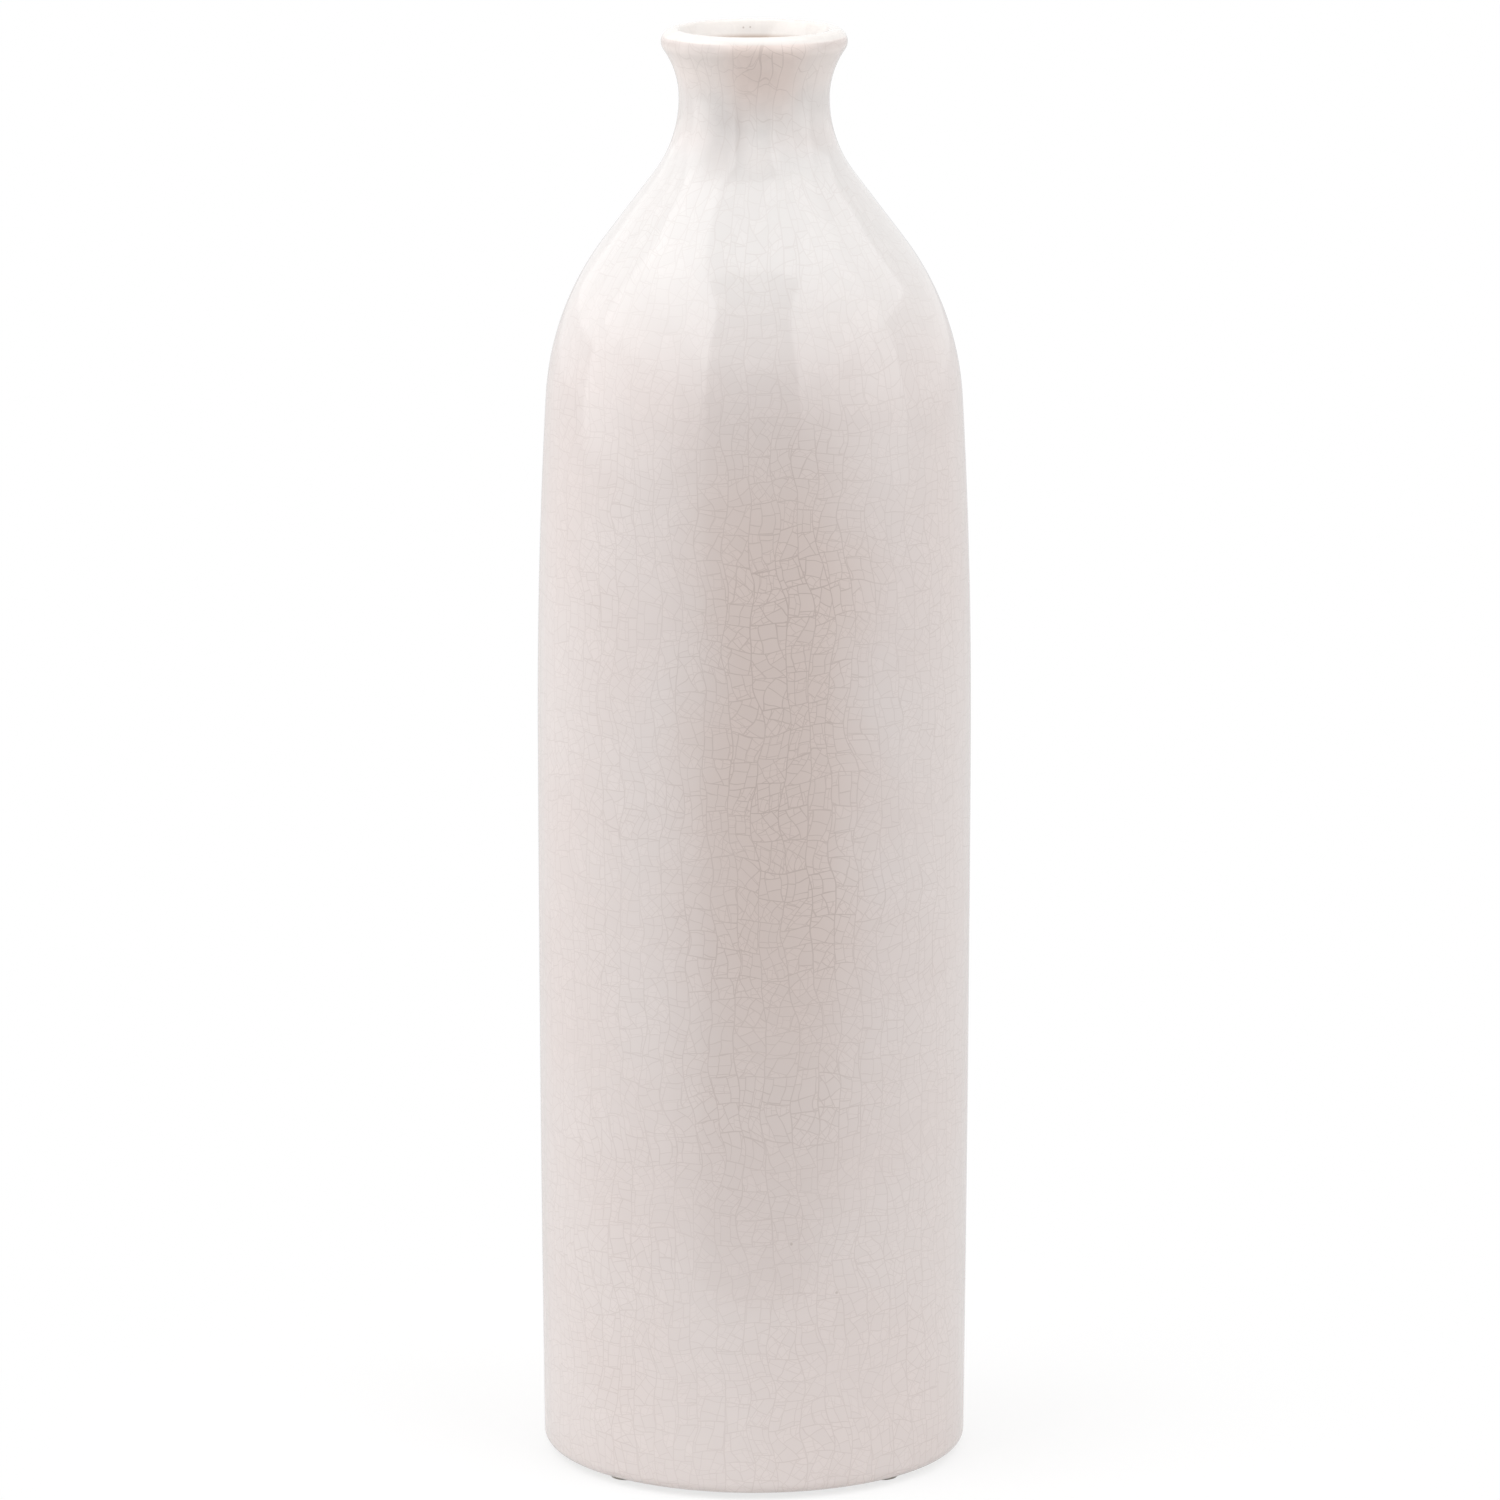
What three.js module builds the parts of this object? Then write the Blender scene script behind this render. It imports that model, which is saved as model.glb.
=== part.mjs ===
// A tall glazed bottle vase: a slip-cast clay body, three coats of glaze and the felt pads under its foot.
// Millimetres, +Z up. The origin is on the table, below the middle of the vase.

import * as THREE from 'three';

const { degToRad } = THREE.MathUtils;

// Clearance between two pieces that touch
const touchGap = 0.3;

// Felt pads under the foot ring
const padCount = 4;
const padDiameter = 9;
const padThickness = 1.2;
const padEdge = 0.2;

// Foot ring and the recess inside it
const footRadius = 59.3;
const footRound = 3;
const footRingWidth = 12;
const footRingEdge = 0.5;
const recessDepth = 3;

// Outside of the finished vase; heights are measured from the table
const bellyRadius = 60.3;
const bellyHeight = 204.5;
const shoulderStart = 299.75;
const wallTaper = 2.72;
const shoulderArc = 79.6;
const shoulderSlope = degToRad(37.2);
const neckRadius = 20.7;
const hollowArc = 34.6;
const flareArc = 23.4;

// Lip: one rounding outside the crest and a smaller one inside it
const lipRadius = 25.6;
const lipOuterRound = 3.6;
const lipInnerRound = 1.6;

// Thicknesses; the clay takes what the coats leave of the finished wall
const wallThickness = 5.6;
const glazeThickness = 0.7;
const baseThickness = 7;
const floorRound = 12;

// How far the outer coat wraps round the foot's edge, and how far the base coat turns down the foot ring
const footWrap = degToRad(75);
const baseSkirt = 1;

// Fineness of the facets: sides round the vase and a pad, steps in each half wall, and sag allowed in an arc
const roundSteps = 48;
const padSteps = 16;
const wallSteps = 3;
const facetSag = 0.15;

const quarterTurn = Math.PI / 2;
const point = (radius, height) => new THREE.Vector2(radius, height);

// Heights and radii that follow from the sizes above
const coat = glazeThickness + touchGap;
const footPlane = padThickness + touchGap;
const footRingOuter = footRadius - footRound;
const footRingInner = footRingOuter - footRingWidth;
const recessCeiling = footPlane + recessDepth;
const floorHeight = recessCeiling + baseThickness + coat;
const footTop = footPlane + footRound;
const crestRadius = lipRadius - lipOuterRound;
const boreRadius = neckRadius - wallThickness;

// Centres of the arcs, worked out so that each stretch of the outline runs smoothly into the next
const footCentre = point(footRingOuter, footTop);
const shoulderCentre = wallPoint(shoulderStart, shoulderArc);
const hollowCentre = findHollowCentre();
const flareCentre = point(neckRadius + flareArc, hollowCentre.y);
const lipCentre = findLipCentre();
const flareAngle = Math.atan2(lipCentre.y - flareCentre.y, flareCentre.x - lipCentre.x);
const innerLipCentre = point(crestRadius, lipCentre.y + lipOuterRound - lipInnerRound);
const innerFlareArc = findInnerFlareArc();
const innerFlareCentre = point(boreRadius + innerFlareArc, hollowCentre.y);
const innerLipAngle = Math.atan2(
  innerLipCentre.y - innerFlareCentre.y,
  innerLipCentre.x - innerFlareCentre.x,
);
const floorCentre = point(wallRadius(floorHeight) - wallThickness - floorRound, floorHeight + floorRound);

// The straight slope leaves the shoulder's arc and ends in the hollow's arc, which turns upright at the neck.
function findHollowCentre() {
  const slopeTop = neckRadius + hollowArc * (1 - Math.cos(shoulderSlope));
  const slopeFoot = shoulderCentre.x + shoulderArc * Math.cos(shoulderSlope);
  const slopeFootHeight = shoulderCentre.y + shoulderArc * Math.sin(shoulderSlope);
  const slopeRise = (slopeFoot - slopeTop) / Math.tan(shoulderSlope);
  const neckHeight = slopeFootHeight + slopeRise + hollowArc * Math.sin(shoulderSlope);
  return point(neckRadius + hollowArc, neckHeight);
}

// The lip's outer rounding touches the flare's arc from outside.
function findLipCentre() {
  const across = flareCentre.x - crestRadius;
  const up = Math.sqrt((flareArc + lipOuterRound) ** 2 - across ** 2);
  return point(crestRadius, flareCentre.y + up);
}

// The arc inside the mouth is upright at the neck's bore and touches the lip's inner rounding.
function findInnerFlareArc() {
  const across = crestRadius - boreRadius;
  const up = innerLipCentre.y - hollowCentre.y;
  return (across ** 2 + up ** 2 - lipInnerRound ** 2) / (2 * (across - lipInnerRound));
}

// The wall bulges like a barrel: its radius falls away from the belly with the square of the height.
function wallCurve(height) {
  const below = height < bellyHeight;
  const loss = below ? bellyRadius - footRadius : wallTaper;
  const span = below ? bellyHeight - footTop : shoulderStart - bellyHeight;
  return loss / span ** 2;
}

function wallRadius(height) {
  return bellyRadius - wallCurve(height) * (height - bellyHeight) ** 2;
}

// How far the wall's outward direction tips up from level; below the belly it tips down.
function wallLean(height) {
  return Math.atan(2 * wallCurve(height) * (height - bellyHeight));
}

// The place straight into the wall, at a depth below its outside.
function wallPoint(height, depth) {
  const lean = wallLean(height);
  return point(wallRadius(height) - depth * Math.cos(lean), height - depth * Math.sin(lean));
}

// Points along an arc of the finished surface, moved towards or away from its centre by shift.
function arc(centre, radius, shift, from, to) {
  const largestStep = 2 * Math.acos(1 - facetSag / radius);
  const steps = Math.ceil(Math.abs(to - from) / largestStep);
  const points = [];
  for (let i = 0; i <= steps; i += 1) {
    const angle = from + ((to - from) * i) / steps;
    points.push(point(Math.cos(angle), Math.sin(angle)).multiplyScalar(radius + shift).add(centre));
  }
  return points;
}

// Points up or down the barrel wall between two heights, at a depth below its outside. The ends are left out.
function wall(depth, from, to) {
  const points = [];
  for (let i = 1; i < wallSteps; i += 1) {
    points.push(wallPoint(from + ((to - from) * i) / wallSteps, depth));
  }
  return points;
}

// Stretches of outline as one list, with each shared end kept once.
function join(...stretches) {
  const samePlace = 1e-6;
  return stretches.flat().filter((p, i, all) => i === 0 || p.distanceTo(all[i - 1]) > samePlace);
}

// Outside of the vase, from the foot's rounding to the lip's crest, at a depth below the finished surface.
function outside(depth, wrap) {
  return join(
    arc(footCentre, footRound, -depth, -wrap, 0),
    wall(depth, footTop, bellyHeight),
    wallPoint(bellyHeight, depth),
    wall(depth, bellyHeight, shoulderStart),
    arc(shoulderCentre, shoulderArc, -depth, wallLean(shoulderStart), shoulderSlope),
    arc(hollowCentre, hollowArc, depth, Math.PI + shoulderSlope, Math.PI),
    arc(flareCentre, flareArc, depth, Math.PI, Math.PI - flareAngle),
    arc(lipCentre, lipOuterRound, -depth, -flareAngle, quarterTurn),
  );
}

// Inside of the mouth, from the crest down to the narrowest place of the neck.
function mouth(depth) {
  return join(
    arc(innerLipCentre, lipInnerRound, -depth, quarterTurn, innerLipAngle),
    arc(innerFlareCentre, innerFlareArc, -depth, innerLipAngle, Math.PI),
  );
}

// Inside of the vase from the neck down to the middle of the floor; it starts a gap below the neck if asked.
function chamber(depth, gap) {
  const innerHollow = hollowArc + wallThickness;
  const innerShoulder = shoulderArc - wallThickness;
  return join(
    arc(hollowCentre, innerHollow, -depth, Math.PI + gap / innerHollow, Math.PI + shoulderSlope),
    arc(shoulderCentre, innerShoulder, depth, shoulderSlope, wallLean(shoulderStart)),
    wall(wallThickness - depth, shoulderStart, bellyHeight),
    wallPoint(bellyHeight, wallThickness - depth),
    wall(wallThickness - depth, bellyHeight, floorCentre.y),
    arc(floorCentre, floorRound, depth, 0, -quarterTurn),
    point(0, floorHeight - depth),
  );
}

// A solid of revolution about the upright axis. The section runs anticlockwise, with the axis on its left.
function turned(section, steps) {
  return new THREE.LatheGeometry(section, steps).rotateX(quarterTurn);
}

function clayBody() {
  const footRing = [
    point(0, recessCeiling),
    point(footRingInner, recessCeiling),
    point(footRingInner, footPlane + footRingEdge),
    point(footRingInner + footRingEdge, footPlane),
    point(footRingOuter - footRingEdge, footPlane),
    point(footRingOuter, footPlane + footRingEdge),
  ];
  return turned(join(footRing, outside(coat, quarterTurn), mouth(coat), chamber(coat, 0)), roundSteps);
}

function outerGlaze() {
  const face = join(outside(0, footWrap), mouth(0));
  const back = join(outside(glazeThickness, footWrap), mouth(glazeThickness)).reverse();
  return turned([...face, ...back, face[0]], roundSteps);
}

function linerGlaze() {
  const back = chamber(glazeThickness, touchGap).reverse();
  const face = chamber(0, touchGap);
  return turned([...back, ...face], roundSteps);
}

function baseGlaze() {
  const rim = footRingInner - touchGap;
  const back = recessCeiling - touchGap;
  const face = back - glazeThickness;
  const section = [
    point(0, face),
    point(rim - glazeThickness, face),
    point(rim - glazeThickness, face - baseSkirt),
    point(rim, face - baseSkirt),
    point(rim, back),
    point(0, back),
  ];
  return turned(section, roundSteps);
}

function feltPad() {
  const radius = padDiameter / 2;
  const section = [
    point(0, 0),
    point(radius - padEdge, 0),
    point(radius, padEdge),
    point(radius, padThickness - padEdge),
    point(radius - padEdge, padThickness),
    point(0, padThickness),
  ];
  return turned(section, padSteps);
}

const clay = new THREE.MeshStandardMaterial({ color: 0xd9cbb8, roughness: 0.9, metalness: 0 });
const crackleGlaze = new THREE.MeshStandardMaterial({ color: 0xd8ceca, roughness: 0.12, metalness: 0 });
const plainGlaze = new THREE.MeshStandardMaterial({ color: 0xe6dfda, roughness: 0.15, metalness: 0 });
const felt = new THREE.MeshStandardMaterial({ color: 0xcfc8bd, roughness: 1, metalness: 0 });

const group = new THREE.Group();

function addPiece(name, geometry, material) {
  const mesh = new THREE.Mesh(geometry, material);
  mesh.name = name;
  group.add(mesh);
  return mesh;
}

addPiece('clay_body', clayBody(), clay);
addPiece('outer_crackle_glaze', outerGlaze(), crackleGlaze);
addPiece('liner_glaze', linerGlaze(), plainGlaze);
addPiece('base_glaze', baseGlaze(), plainGlaze);

// The pads stand evenly round the middle of the foot ring, one diagonal to each corner of the table's axes.
const padCircle = (footRingOuter + footRingInner) / 2;
for (let i = 0; i < padCount; i += 1) {
  const angle = ((i + 0.5) * 2 * Math.PI) / padCount;
  const pad = addPiece(`felt_pad_${i + 1}`, feltPad(), felt);
  pad.position.set(padCircle * Math.cos(angle), padCircle * Math.sin(angle), 0);
}

export default group;
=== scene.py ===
import math

import bpy
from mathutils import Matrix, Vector, noise


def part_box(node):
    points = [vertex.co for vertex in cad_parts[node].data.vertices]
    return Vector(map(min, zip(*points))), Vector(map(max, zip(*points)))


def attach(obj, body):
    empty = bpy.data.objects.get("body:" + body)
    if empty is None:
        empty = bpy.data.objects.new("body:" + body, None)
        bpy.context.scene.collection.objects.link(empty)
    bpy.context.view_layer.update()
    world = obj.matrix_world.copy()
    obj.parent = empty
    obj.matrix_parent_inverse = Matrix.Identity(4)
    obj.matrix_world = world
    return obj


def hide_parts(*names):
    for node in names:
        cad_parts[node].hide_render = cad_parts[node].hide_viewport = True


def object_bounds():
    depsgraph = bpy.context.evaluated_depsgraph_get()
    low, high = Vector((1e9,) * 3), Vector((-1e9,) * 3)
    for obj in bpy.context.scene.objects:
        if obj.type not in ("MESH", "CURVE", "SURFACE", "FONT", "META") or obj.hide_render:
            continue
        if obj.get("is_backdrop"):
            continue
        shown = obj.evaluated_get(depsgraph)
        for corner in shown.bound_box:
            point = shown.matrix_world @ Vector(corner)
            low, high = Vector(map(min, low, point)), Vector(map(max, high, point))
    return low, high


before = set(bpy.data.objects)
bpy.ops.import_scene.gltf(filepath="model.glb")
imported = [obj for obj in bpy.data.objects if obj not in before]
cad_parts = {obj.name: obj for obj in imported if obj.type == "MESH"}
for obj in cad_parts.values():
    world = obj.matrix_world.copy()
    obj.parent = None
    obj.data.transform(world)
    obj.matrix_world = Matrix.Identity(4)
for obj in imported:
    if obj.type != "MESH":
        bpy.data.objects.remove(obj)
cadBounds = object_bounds()
print("frame loaded:", ", ".join(sorted(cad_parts)))

# The outline that the clay and its coats share. Heights are measured from the table.
vaseForm = {
    "footRadius": 0.0593,
    "footRound": 0.003,
    "footRingEdge": 0.0006,
    "bellyHeight": 0.2045,
    "shoulderStart": 0.29975,
    "wallTaper": 0.00272,
    "shoulderArc": 0.0796,
    "shoulderSlope": math.radians(37.2),
    "neckRadius": 0.0207,
    "hollowArc": 0.0346,
    "flareArc": 0.0234,
    "lipRadius": 0.0256,
    "lipOuterRound": 0.0036,
    "lipInnerRound": 0.0016,
    "wall": 0.0056,
    "coat": 0.0007,
    "touchGap": 0.0003,
    "floorRound": 0.012,
}

# What casting, drying and glazing leave on an even form: how far the surface strays, and how often
# round the vase and up its height
handMarks = {
    "sway": 0.00012,
    "swayRound": 0.9,
    "swayUp": 7,
    "runs": 0.000035,
    "runsRound": 5.0,
    "runsUp": 9,
    "finerRuns": 2.3,       # how many times as often the finer ones come round the vase
    "finerUp": 14,
    "finerShare": 0.4,
    "runsBelow": 0.25,      # what is left of them under runsFrom
    "runsFrom": 0.20,
    "runsFull": 0.31,
    "lipSway": 0.0002,      # up and down, coming in from lipFrom to lipFull below the lip's top
    "lipRound": 1.3,
    "lipFrom": 0.012,
    "lipFull": 0.001,
    "stillBelow": 0.004,
    "fullAbove": 0.05,
}

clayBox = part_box("clay_body")
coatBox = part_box("outer_crackle_glaze")
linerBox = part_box("liner_glaze")
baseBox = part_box("base_glaze")

quarterTurn = math.pi / 2
bellyRadius = coatBox[1].x
footPlane = clayBox[0].z
footTop = footPlane + vaseForm["footRound"]
footRingOuter = vaseForm["footRadius"] - vaseForm["footRound"]
footRingInner = baseBox[1].x + vaseForm["touchGap"]
recessCeiling = baseBox[1].z + vaseForm["touchGap"]
floorHeight = linerBox[0].z + vaseForm["coat"]
clayDepth = vaseForm["coat"] + vaseForm["touchGap"]


def wallCurve(height):
    below = height < vaseForm["bellyHeight"]
    loss = bellyRadius - vaseForm["footRadius"] if below else vaseForm["wallTaper"]
    end = footTop if below else vaseForm["shoulderStart"]
    return loss / (end - vaseForm["bellyHeight"]) ** 2


def wallLean(height):
    return math.atan(2 * wallCurve(height) * (height - vaseForm["bellyHeight"]))


def wallPoint(height, depth):
    radius = bellyRadius - wallCurve(height) * (height - vaseForm["bellyHeight"]) ** 2
    lean = wallLean(height)
    return Vector((radius - depth * math.cos(lean), height - depth * math.sin(lean)))


# Centres of the arcs, so that each stretch of the outline runs smoothly into the next
def findHollowCentre():
    slope = vaseForm["shoulderSlope"]
    top = vaseForm["neckRadius"] + vaseForm["hollowArc"] * (1 - math.cos(slope))
    foot = shoulderCentre + Vector((math.cos(slope), math.sin(slope))) * vaseForm["shoulderArc"]
    rise = (foot.x - top) / math.tan(slope)
    height = foot.y + rise + vaseForm["hollowArc"] * math.sin(slope)
    return Vector((vaseForm["neckRadius"] + vaseForm["hollowArc"], height))


def findLipCentre():
    crest = vaseForm["lipRadius"] - vaseForm["lipOuterRound"]
    reach = vaseForm["flareArc"] + vaseForm["lipOuterRound"]
    up = math.sqrt(reach ** 2 - (flareCentre.x - crest) ** 2)
    return Vector((crest, flareCentre.y + up))


def findInnerFlareArc():
    across = lipCentre.x - boreRadius
    up = innerLipCentre.y - hollowCentre.y
    rounding = vaseForm["lipInnerRound"]
    return (across ** 2 + up ** 2 - rounding ** 2) / (2 * (across - rounding))


boreRadius = vaseForm["neckRadius"] - vaseForm["wall"]
footCentre = Vector((footRingOuter, footTop))
shoulderCentre = wallPoint(vaseForm["shoulderStart"], vaseForm["shoulderArc"])
hollowCentre = findHollowCentre()
flareCentre = Vector((vaseForm["neckRadius"] + vaseForm["flareArc"], hollowCentre.y))
lipCentre = findLipCentre()
flareAngle = math.atan2(lipCentre.y - flareCentre.y, flareCentre.x - lipCentre.x)
innerLipCentre = lipCentre + Vector((0, vaseForm["lipOuterRound"] - vaseForm["lipInnerRound"]))
innerFlareArc = findInnerFlareArc()
innerFlareCentre = Vector((boreRadius + innerFlareArc, hollowCentre.y))
lipFromFlare = innerLipCentre - innerFlareCentre
innerLipAngle = math.atan2(lipFromFlare.y, lipFromFlare.x)
floorCorner = vaseForm["floorRound"]
floorCentre = wallPoint(floorHeight, vaseForm["wall"]) + Vector((-floorCorner, floorCorner))
lipTop = lipCentre.y + vaseForm["lipOuterRound"]


def arc(centre, radius, start, end, step):
    most = math.radians(9)
    count = max(math.ceil(radius * abs(end - start) / step), math.ceil(abs(end - start) / most), 1)
    angles = [start + (end - start) * i / count for i in range(count + 1)]
    return [centre + Vector((math.cos(a), math.sin(a))) * radius for a in angles]


def wall(depth, start, end, step):
    count = math.ceil(abs(end - start) / (2 * step))
    return [wallPoint(start + (end - start) * i / count, depth) for i in range(1, count)]


def line(start, end, step):
    count = max(math.ceil((end - start).length / step), 1)
    return [start.lerp(end, i / count) for i in range(count + 1)]


def join(*stretches):
    samePlace = 1e-7
    points = []
    for stretch in stretches:
        for p in stretch:
            if not points or (p - points[-1]).length > samePlace:
                points.append(p)
    return points


def slopeRun(fromArc, toArc, step):
    return line(fromArc[-1], toArc[0], step)


# Outside of the vase from the foot's rounding to the lip's crest, at a depth below the finished surface
def outside(depth, wrap, step):
    slope = vaseForm["shoulderSlope"]
    lean = wallLean(vaseForm["shoulderStart"])
    shoulder = arc(shoulderCentre, vaseForm["shoulderArc"] - depth, lean, slope, step)
    hollow = arc(hollowCentre, vaseForm["hollowArc"] + depth, math.pi + slope, math.pi, step)
    return join(
        arc(footCentre, vaseForm["footRound"] - depth, -wrap, 0, step),
        wall(depth, footTop, vaseForm["bellyHeight"], step),
        [wallPoint(vaseForm["bellyHeight"], depth)],
        wall(depth, vaseForm["bellyHeight"], vaseForm["shoulderStart"], step),
        shoulder,
        slopeRun(shoulder, hollow, step),
        hollow,
        arc(flareCentre, vaseForm["flareArc"] + depth, math.pi, math.pi - flareAngle, step),
        arc(lipCentre, vaseForm["lipOuterRound"] - depth, -flareAngle, quarterTurn, step),
    )


def mouth(depth, step):
    return join(
        arc(innerLipCentre, vaseForm["lipInnerRound"] - depth, quarterTurn, innerLipAngle, step),
        arc(innerFlareCentre, innerFlareArc - depth, innerLipAngle, math.pi, step),
    )


# Inside of the vase from the neck down to the middle of the floor
def chamber(depth, gap, step):
    slope = vaseForm["shoulderSlope"]
    innerHollow = vaseForm["hollowArc"] + vaseForm["wall"]
    innerShoulder = vaseForm["shoulderArc"] - vaseForm["wall"]
    hollow = arc(hollowCentre, innerHollow - depth, math.pi + gap / innerHollow, math.pi + slope, step)
    shoulder = arc(shoulderCentre, innerShoulder + depth, slope, wallLean(vaseForm["shoulderStart"]), step)
    corner = arc(floorCentre, vaseForm["floorRound"] + depth, 0, -quarterTurn, step)
    return join(
        hollow,
        slopeRun(hollow, shoulder, step),
        shoulder,
        wall(vaseForm["wall"] - depth, vaseForm["shoulderStart"], vaseForm["bellyHeight"], step),
        [wallPoint(vaseForm["bellyHeight"], vaseForm["wall"] - depth)],
        wall(vaseForm["wall"] - depth, vaseForm["bellyHeight"], floorCentre.y, step),
        corner,
        line(corner[-1], Vector((0, floorHeight - depth)), 3 * step),
    )


# The rounded edge of a coat, from the last point of one face to the first point of the next
def bead(start, end, bulge):
    centre = (start + end) / 2
    half = start - centre
    out = Vector((-half.y, half.x)).normalized() * bulge
    steps = 8
    turns = [math.pi * i / steps for i in range(1, steps)]
    return [centre + half * math.cos(turn) + out * math.sin(turn) for turn in turns]


def easeIn(value, low, high):
    t = min(max((value - low) / (high - low), 0), 1)
    return t * t * (3 - 2 * t)


def swayAt(angle, height):
    c, s = math.cos(angle), math.sin(angle)
    slowRound, rounds, finer = handMarks["swayRound"], handMarks["runsRound"], handMarks["finerRuns"]
    slowPlace = Vector((slowRound * c, slowRound * s, handMarks["swayUp"] * height + 3.1))
    runsPlace = Vector((rounds * c + 11, rounds * s, handMarks["runsUp"] * height))
    finerPlace = Vector((finer * rounds * c, finer * rounds * s + 5, handMarks["finerUp"] * height))
    slow = noise.noise(slowPlace) * handMarks["sway"]
    runs = noise.noise(runsPlace) * handMarks["runs"]
    runs += noise.noise(finerPlace) * handMarks["runs"] * handMarks["finerShare"]
    below = handMarks["runsBelow"]
    runs *= below + (1 - below) * easeIn(height, handMarks["runsFrom"], handMarks["runsFull"])
    return (slow + runs) * easeIn(height, handMarks["stillBelow"], handMarks["fullAbove"])


def lipLift(angle, height):
    often = handMarks["lipRound"]
    rise = noise.noise(Vector((often * math.cos(angle), often * math.sin(angle) + 20, 0)))
    share = easeIn(height, lipTop - handMarks["lipFrom"], lipTop - handMarks["lipFull"])
    return rise * handMarks["lipSway"] * share


# A body turned from a section whose inside is on its left. Points on the axis become poles.
def turned(name, section, sides, swaying, material, closed=False):
    onAxis = 1e-6
    coords, rings = [], []
    for p in section:
        if p.x < onAxis:
            rings.append([len(coords)] * sides)
            coords.append((0, 0, p.y))
            continue
        ring = []
        for j in range(sides):
            angle = 2 * math.pi * j / sides - quarterTurn
            radius, height = p.x, p.y
            if swaying:
                sway = swayAt(angle, height) * min(p.x / boreRadius, 1)
                radius, height = radius + sway, height + lipLift(angle, height)
            ring.append(len(coords))
            coords.append((radius * math.cos(angle), radius * math.sin(angle), height))
        rings.append(ring)
    pairs = list(zip(rings, rings[1:] + rings[:1])) if closed else list(zip(rings, rings[1:]))
    faces = []
    for low, high in pairs:
        for j in range(sides):
            k = (j + 1) % sides
            corners = [low[j], low[k], high[k], high[j]]
            faces.append([c for i, c in enumerate(corners) if c != corners[i - 1]])
    mesh = bpy.data.meshes.new(name)
    mesh.from_pydata(coords, [], faces)
    mesh.shade_smooth()
    mesh.materials.append(material)
    piece = bpy.data.objects.new(name, mesh)
    bpy.context.scene.collection.objects.link(piece)
    return piece


# Nodes, sockets and links, by name
def newGroup(name, inputs, outputs):
    tree = bpy.data.node_groups.new(name, "ShaderNodeTree")
    for label, kind, value in inputs:
        socket = tree.interface.new_socket(name=label, in_out="INPUT", socket_type=kind)
        socket.default_value = value
    for label, kind in outputs:
        tree.interface.new_socket(name=label, in_out="OUTPUT", socket_type=kind)
    return tree, tree.nodes.new("NodeGroupInput").outputs, tree.nodes.new("NodeGroupOutput").inputs


def addNode(tree, kind, settings=None, **sockets):
    node = tree.nodes.new(kind)
    for key, value in (settings or {}).items():
        setattr(node, key, value)
    for label, value in sockets.items():
        feed(tree, node.inputs[label.replace("_", " ")], value)
    return node


def feed(tree, socket, value):
    if isinstance(value, bpy.types.NodeSocket):
        tree.links.new(value, socket)
    else:
        socket.default_value = value


def maths(tree, operation, *values):
    node = tree.nodes.new("ShaderNodeMath")
    node.operation = operation
    for socket, value in zip(node.inputs, values):
        feed(tree, socket, value)
    return node.outputs[0]


def ramp(tree, value, low, high, toLow=0.0, toHigh=1.0, smooth=True):
    kind = "SMOOTHSTEP" if smooth else "LINEAR"
    node = addNode(tree, "ShaderNodeMapRange", {"interpolation_type": kind}, Value=value)
    for label, number in (("From Min", low), ("From Max", high), ("To Min", toLow), ("To Max", toHigh)):
        feed(tree, node.inputs[label], number)
    return node.outputs["Result"]


# 1 between the two middle heights, falling to 0 at the outer two
def between(tree, value, low, lowFull, highFull, high):
    return maths(tree, "MULTIPLY", ramp(tree, value, low, lowFull), ramp(tree, value, highFull, high, 1, 0))


def mixColour(tree, factor, first, second, blend="MIX"):
    node = tree.nodes.new("ShaderNodeMix")
    node.data_type = "RGBA"
    node.blend_type = blend
    for index, value in ((0, factor), (6, first), (7, second)):
        feed(tree, node.inputs[index], value)
    return node.outputs[2]


def newMaterial(name):
    material = bpy.data.materials.new(name)
    material.use_nodes = True
    tree = material.node_tree
    return material, tree, tree.nodes["Principled BSDF"]


def objectPlace(tree):
    return tree.nodes.new("ShaderNodeTexCoord").outputs["Object"]


def rgb(red, green, blue):
    return (red, green, blue, 1)


noiseSpan = (0.3, 0.7)      # nearly all values of a noise lie in it
glazeIor = 1.5
crackEdge = (0.35, 0.65)    # where a craze line begins and ends to fade, as shares of its width
ironDots = {
    "cells": 62,            # cells per metre that may hold one
    "rareAbove": 0.93,
    "sizes": (0.012, 0.03),     # as shares of a cell
    "tone": rgb(0.3, 0.23, 0.18),
}


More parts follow.
